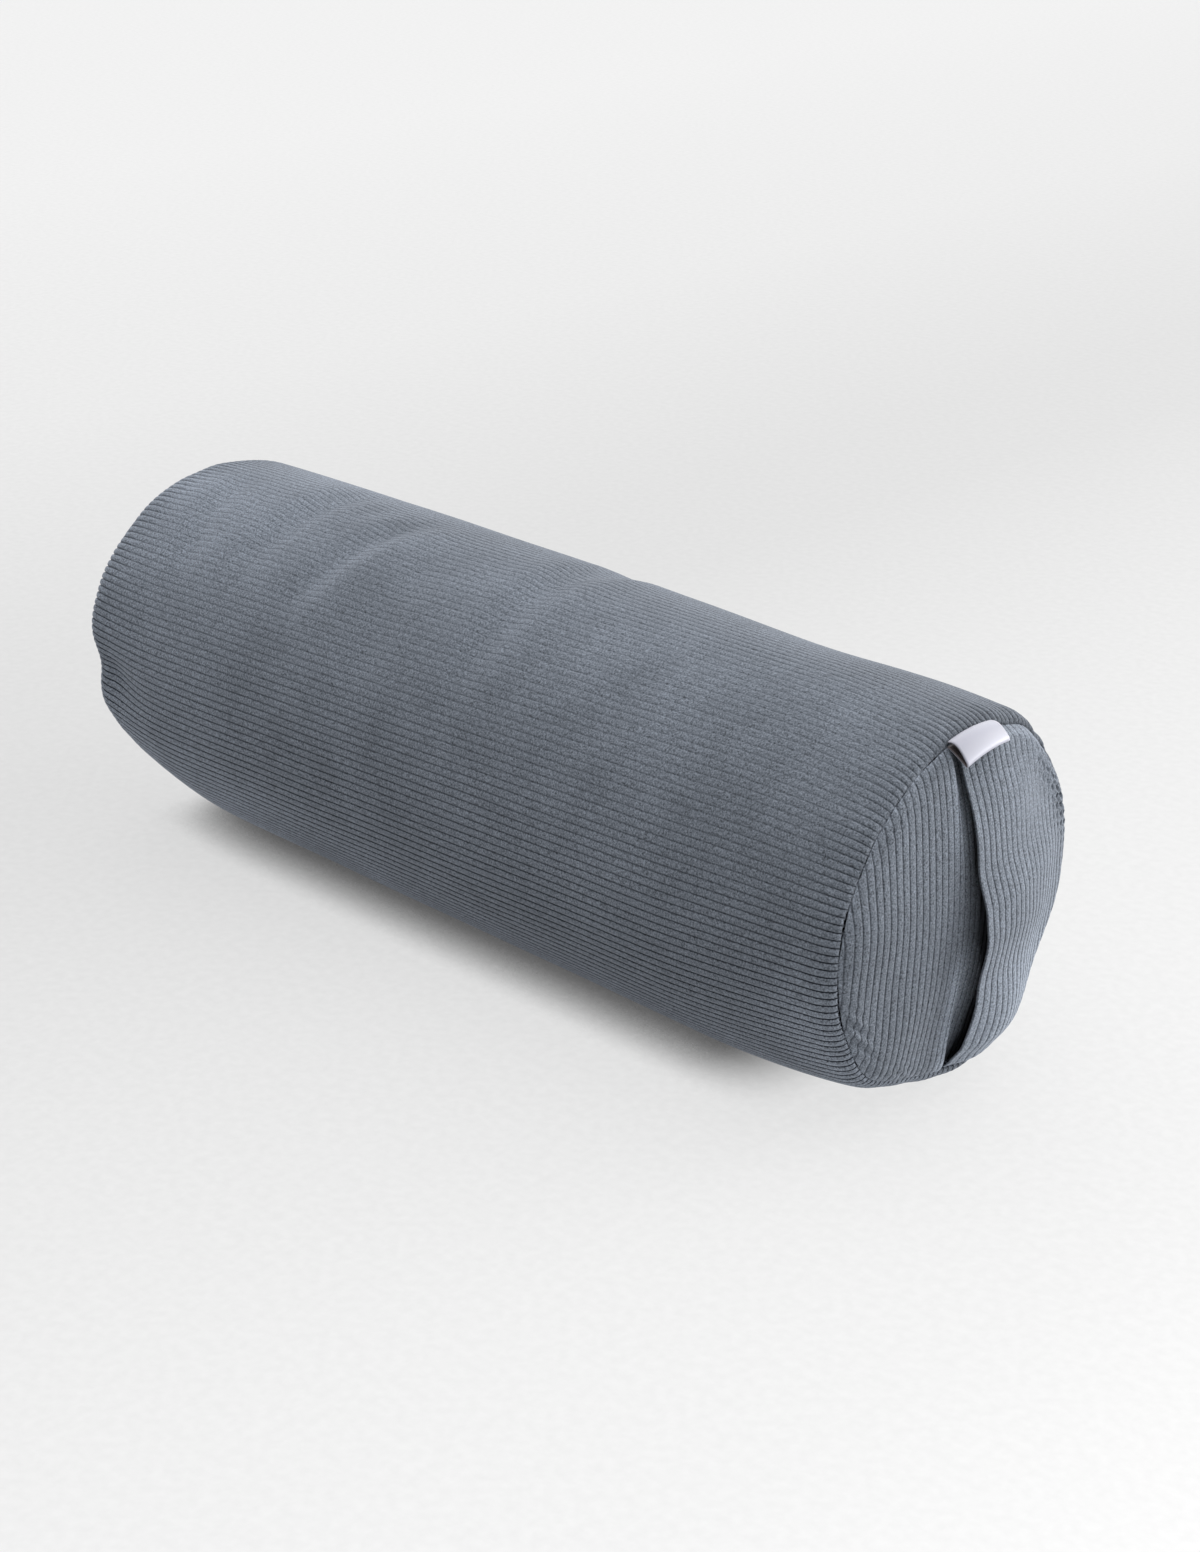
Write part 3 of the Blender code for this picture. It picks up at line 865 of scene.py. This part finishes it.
def make_label(finish):
    """White ribbon folded in two, its ends sewn into the seam over the flap's corner."""
    half_width, half_height, middle = seam_size(GRIP_END)
    label, column, row = length_of_cloth("ribbon_loop", LABEL_COLUMNS, LABEL_ROWS)
    out, rise, run = label_profile(column / (LABEL_COLUMNS - 1))
    share = row / (LABEL_ROWS - 1)
    y = LABEL_FROM_Y + (LABEL_TO_Y - LABEL_FROM_Y) * share
    across = y / half_width
    up = np.sqrt(1 - across * across)
    twisted = LABEL_DROOP + LABEL_TWIST * (1 - share)
    fall = twisted * (out / LABEL_LENGTH) ** LABEL_DROOP_POWER
    x = END_X + lean(GRIP_END, across, up) + LABEL_CLEARANCE + out
    points = np.stack([x, y, middle + half_height * up + rise - fall], axis=-1)
    lay_out(label, points, run, y)
    sew_up(label)
    add_wall(label, "Ribbon thickness", LABEL_THICKNESS, 0)
    # Painted shade on the loop's inner side, and a painted highlight along its fold
    paint(label, "Inside", inside_of_loop(label, run))
    fold_highlight = 1 + LABEL_FOLD_HIGHLIGHT * hump(run - LABEL_LENGTH, LABEL_FOLD_REACH)
    paint(label, "Light", np.tile(fold_highlight, 2))
    dress(label, "label_loop", finish)


def new_material(name):
    """Returns a material, its node tree and its shader."""
    made = bpy.data.materials.new(name)
    made.use_nodes = True
    return made, made.node_tree, made.node_tree.nodes["Principled BSDF"]


def feed(tree, node, inputs):
    """Give a node's inputs their values, or link them to the outputs that feed them."""
    for name, value in inputs.items():
        if isinstance(value, bpy.types.NodeSocket):
            tree.links.new(value, node.inputs[name])
        else:
            node.inputs[name].default_value = value


def painted(tree, name):
    """What is painted on the cloth under a name."""
    node = tree.nodes.new("ShaderNodeAttribute")
    node.attribute_name = name
    return node.outputs["Fac"]


def cloth_place(tree):
    """The cloth's own map: rib coordinate, and length along the rib."""
    node = tree.nodes.new("ShaderNodeUVMap")
    node.uv_map = "Cloth"
    return node.outputs["UV"]


def object_place(tree):
    return tree.nodes.new("ShaderNodeTexCoord").outputs["Object"]


def x_of(tree, place):
    node = tree.nodes.new("ShaderNodeSeparateXYZ")
    feed(tree, node, {"Vector": place})
    return node.outputs["X"]


def calculated(tree, operation, *values):
    node = tree.nodes.new("ShaderNodeMath")
    node.operation = operation
    feed(tree, node, dict(enumerate(values)))
    return node.outputs[0]


def noise(tree, place, scale, detail, roughness=0.5):
    node = tree.nodes.new("ShaderNodeTexNoise")
    feed(tree, node, {"Vector": place, "Scale": scale, "Detail": detail, "Roughness": roughness})
    return node.outputs["Fac"]


def mapped(tree, value, start, end, low, high, eased=False):
    """Low up to a start, high from an end on, and a steady or an eased way between."""
    node = tree.nodes.new("ShaderNodeMapRange")
    if eased:
        node.interpolation_type = "SMOOTHSTEP"
    inputs = {"Value": value, "From Min": start, "From Max": end, "To Min": low, "To Max": high}
    feed(tree, node, inputs)
    return node.outputs["Result"]


def grey_ramp(tree, value, stops, interpolation="LINEAR"):
    """Read a grey at a value from stops, each a place and its grey. The outer two are 0 and 1."""
    node = tree.nodes.new("ShaderNodeValToRGB")
    node.color_ramp.interpolation = interpolation
    elements = node.color_ramp.elements
    for element, (_, grey) in zip(elements, (stops[0], stops[-1])):
        element.color = (grey, grey, grey, 1)
    for place, grey in stops[1:-1]:
        elements.new(place).color = (grey, grey, grey, 1)
    feed(tree, node, {"Fac": value})
    return node.outputs["Color"]


def mixed_colour(tree, share, one, other):
    node = tree.nodes.new("ShaderNodeMix")
    node.data_type = "RGBA"
    feed(tree, node, {"Factor": share, "A": (*one, 1), "B": (*other, 1)})
    return node.outputs["Result"]


def lit_colour(tree, colour, light):
    node = tree.nodes.new("ShaderNodeVectorMath")
    node.operation = "SCALE"
    feed(tree, node, {0: colour, "Scale": light})
    return node.outputs["Vector"]


def bumped(tree, height, strength, distance):
    node = tree.nodes.new("ShaderNodeBump")
    feed(tree, node, {"Height": height, "Strength": strength, "Distance": distance})
    return node.outputs["Normal"]


def grooves(tree, tufts):
    """Painted shade in the grooves: 1 along the middle of each groove and 0 on the ribs, ragged with
    the tufts.
    """
    ribs = x_of(tree, cloth_place(tree))
    ragged = calculated(tree, "MULTIPLY_ADD", tufts, RAGGED, ribs)
    centred = calculated(tree, "SUBTRACT", ragged, RAGGED / 2)
    return grey_ramp(tree, calculated(tree, "FRACT", centred), GROOVE_SHADE_STOPS, "EASE")


def corduroy():
    """Brushed cotton pile: narrow grooves with painted shade in them, heathered tufts, lighter and
    darker patches, and painted light and shade over the pieces.
    """
    made, tree, shader = new_material("Slate corduroy")
    place = object_place(tree)
    tufts = noise(tree, place, TUFT_SCALE, 2.5, 0.7)
    patches = noise(tree, place, PATCH_SCALE, 3, 0.55)
    heather = mapped(tree, tufts, *NOISE_RANGE, *HEATHER)
    lightness = mapped(tree, patches, *NOISE_RANGE, *PATCHES)
    uneven_pile = calculated(tree, "MULTIPLY", heather, lightness)
    # The painted light and shade of each piece
    light = calculated(tree, "MULTIPLY", uneven_pile, painted(tree, "Light"))
    dark = calculated(tree, "MULTIPLY", grooves(tree, tufts), painted(tree, "Groove"))
    pile = mixed_colour(tree, dark, CORDUROY_PILE, CORDUROY_GROOVE_SHADE)
    inputs = {
        "Base Color": lit_colour(tree, pile, light),
        "Normal": bumped(tree, tufts, 0.5, 0.0004),
        "Roughness": 0.92,
        "Specular IOR Level": 0.12,
        "Sheen Weight": 0.22,
        "Sheen Roughness": 0.45,
        "Sheen Tint": SHEEN_TINT,
    }
    feed(tree, shader, inputs)
    return made


def satin():
    """White satin ribbon with fine cross threads, painted shade inside its loop and a painted highlight
    along its fold.
    """
    made, tree, shader = new_material("White satin ribbon")
    threads = tree.nodes.new("ShaderNodeTexWave")
    threads.wave_type = "BANDS"
    threads.bands_direction = "X"
    feed(tree, threads, {"Vector": cloth_place(tree), "Scale": 900, "Distortion": 0.6})
    # Painted shade on the loop's inner side
    white = mixed_colour(tree, painted(tree, "Inside"), SATIN_WHITE, SATIN_INSIDE_SHADE)
    inputs = {
        "Base Color": lit_colour(tree, white, painted(tree, "Light")),
        "Normal": bumped(tree, threads.outputs["Fac"], 0.25, 0.0001),
        "Roughness": 0.42,
        "Sheen Weight": 0.15,
    }
    feed(tree, shader, inputs)
    return made


def floor_glow(tree, x):
    """Glow of the open floor, as it changes along X."""
    first, last = FLOOR_GLOW[0][0], FLOOR_GLOW[-1][0]
    stops = [((place - first) / (last - first), glow) for place, glow in FLOOR_GLOW]
    return grey_ramp(tree, mapped(tree, x, first, last, 0.0, 1.0), stops)


def floor_painted_shadow(tree, x):
    """Painted shadow: share of the glow that is left close to the bolster, all of it under the grip
    end.
    """
    open_sky = tree.nodes.new("ShaderNodeAmbientOcclusion")
    open_sky.samples = 8
    feed(tree, open_sky, {"Distance": DIMMED_REACH})
    dimmed = mapped(tree, open_sky.outputs["AO"], DIMMED_FROM, DIMMED_TO, DIMMED_SHARE, 1.0)
    by_grip_end = mapped(tree, x, LIT_UNDER_FROM_X, LIT_UNDER_TO_X, 0.0, 1.0, eased=True)
    kept = tree.nodes.new("ShaderNodeMix")
    feed(tree, kept, {"Factor": by_grip_end, "A": dimmed, "B": 1.0})
    return kept.outputs["Result"]


def floor_finish():
    """Matt white studio floor with a painted glow, so that shadows on it stay faint, and a painted
    shadow close to the bolster.
    """
    made, tree, shader = new_material("White studio floor")
    place = object_place(tree)
    x = x_of(tree, place)
    grain = noise(tree, place, FLOOR_GRAIN_SCALE, 3)
    grained = mapped(tree, grain, *NOISE_RANGE, 1 - FLOOR_GRAIN, 1 + FLOOR_GRAIN)
    glow = calculated(tree, "MULTIPLY", floor_glow(tree, x), grained)
    inputs = {
        "Base Color": FLOOR_GREY,
        "Emission Color": (1.0, 1.0, 1.0, 1),
        "Emission Strength": calculated(tree, "MULTIPLY", glow, floor_painted_shadow(tree, x)),
        "Roughness": 0.9,
        "Specular IOR Level": 0.1,
    }
    feed(tree, shader, inputs)
    return made


def make_floor():
    deselect()
    bpy.ops.mesh.primitive_grid_add(x_subdivisions=8, y_subdivisions=8, size=FLOOR_SIZE)
    floor = bpy.context.object
    floor.name = "studio_floor"
    floor.data.materials.append(floor_finish())


def add_window():
    """One large square soft box, turned to its aim."""
    lamp = bpy.data.lights.new("Window box", "AREA")
    lamp.size = WINDOW_SIZE
    lamp.energy = WINDOW_POWER
    lamp.color = WINDOW_COLOUR
    holder = bpy.data.objects.new("Window box", lamp)
    holder.location = WINDOW_PLACE
    direction = Vector(WINDOW_AIM) - Vector(WINDOW_PLACE)
    holder.rotation_euler = direction.to_track_quat("-Z", "Y").to_euler()
    bpy.context.scene.collection.objects.link(holder)


def light_studio():
    """A white room that is brightest overhead and to the camera's right, and a soft box."""
    scene = bpy.context.scene
    world = bpy.data.worlds.new("Studio")
    world.use_nodes = True
    tree = world.node_tree
    towards = tree.nodes.new("ShaderNodeVectorMath")
    towards.operation = "DOT_PRODUCT"
    looked_at = tree.nodes.new("ShaderNodeTexCoord").outputs["Generated"]
    feed(tree, towards, {0: looked_at, 1: Vector(KEY_DIRECTION).normalized()})
    key = towards.outputs["Value"]
    bright = mapped(tree, key, ROOM_FROM, ROOM_TO, ROOM_DARK, ROOM_BRIGHT, eased=True)
    feed(tree, tree.nodes["Background"], {"Color": (1.0, 1.0, 1.0, 1), "Strength": bright})
    scene.world = world
    add_window()
    scene.view_settings.view_transform = "Standard"
    scene.view_settings.look = "None"
    scene.view_settings.exposure = 0.0


def place_camera():
    lens = bpy.data.cameras.new("Photo camera")
    lens.lens = CAMERA_LENS_MM
    lens.sensor_width = SENSOR_MM
    lens.sensor_fit = "AUTO"
    lens.clip_start = SEEN_FROM
    lens.clip_end = SEEN_TO
    camera = bpy.data.objects.new("Photo camera", lens)
    camera.location = CAMERA_PLACE
    camera.rotation_euler = Euler((math.pi / 2 - CAMERA_ELEVATION, 0, CAMERA_AZIMUTH))
    bpy.context.scene.collection.objects.link(camera)
    bpy.context.scene.camera = camera


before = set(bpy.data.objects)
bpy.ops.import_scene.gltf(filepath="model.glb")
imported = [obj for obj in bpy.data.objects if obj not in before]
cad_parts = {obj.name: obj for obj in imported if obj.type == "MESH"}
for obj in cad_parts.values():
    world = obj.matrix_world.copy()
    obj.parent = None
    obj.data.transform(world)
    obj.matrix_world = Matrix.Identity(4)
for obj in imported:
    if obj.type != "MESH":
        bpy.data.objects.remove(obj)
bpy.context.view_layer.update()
cord = corduroy()
make_wrap(cord)
make_panel("end_panel_ribbed", "end_panel_grip", GRIP_END, cord)
make_panel("far_panel_ribbed", "end_panel_plain", PLAIN_END, cord)
make_flap(cord)
make_label(satin())
make_floor()
light_studio()
place_camera()
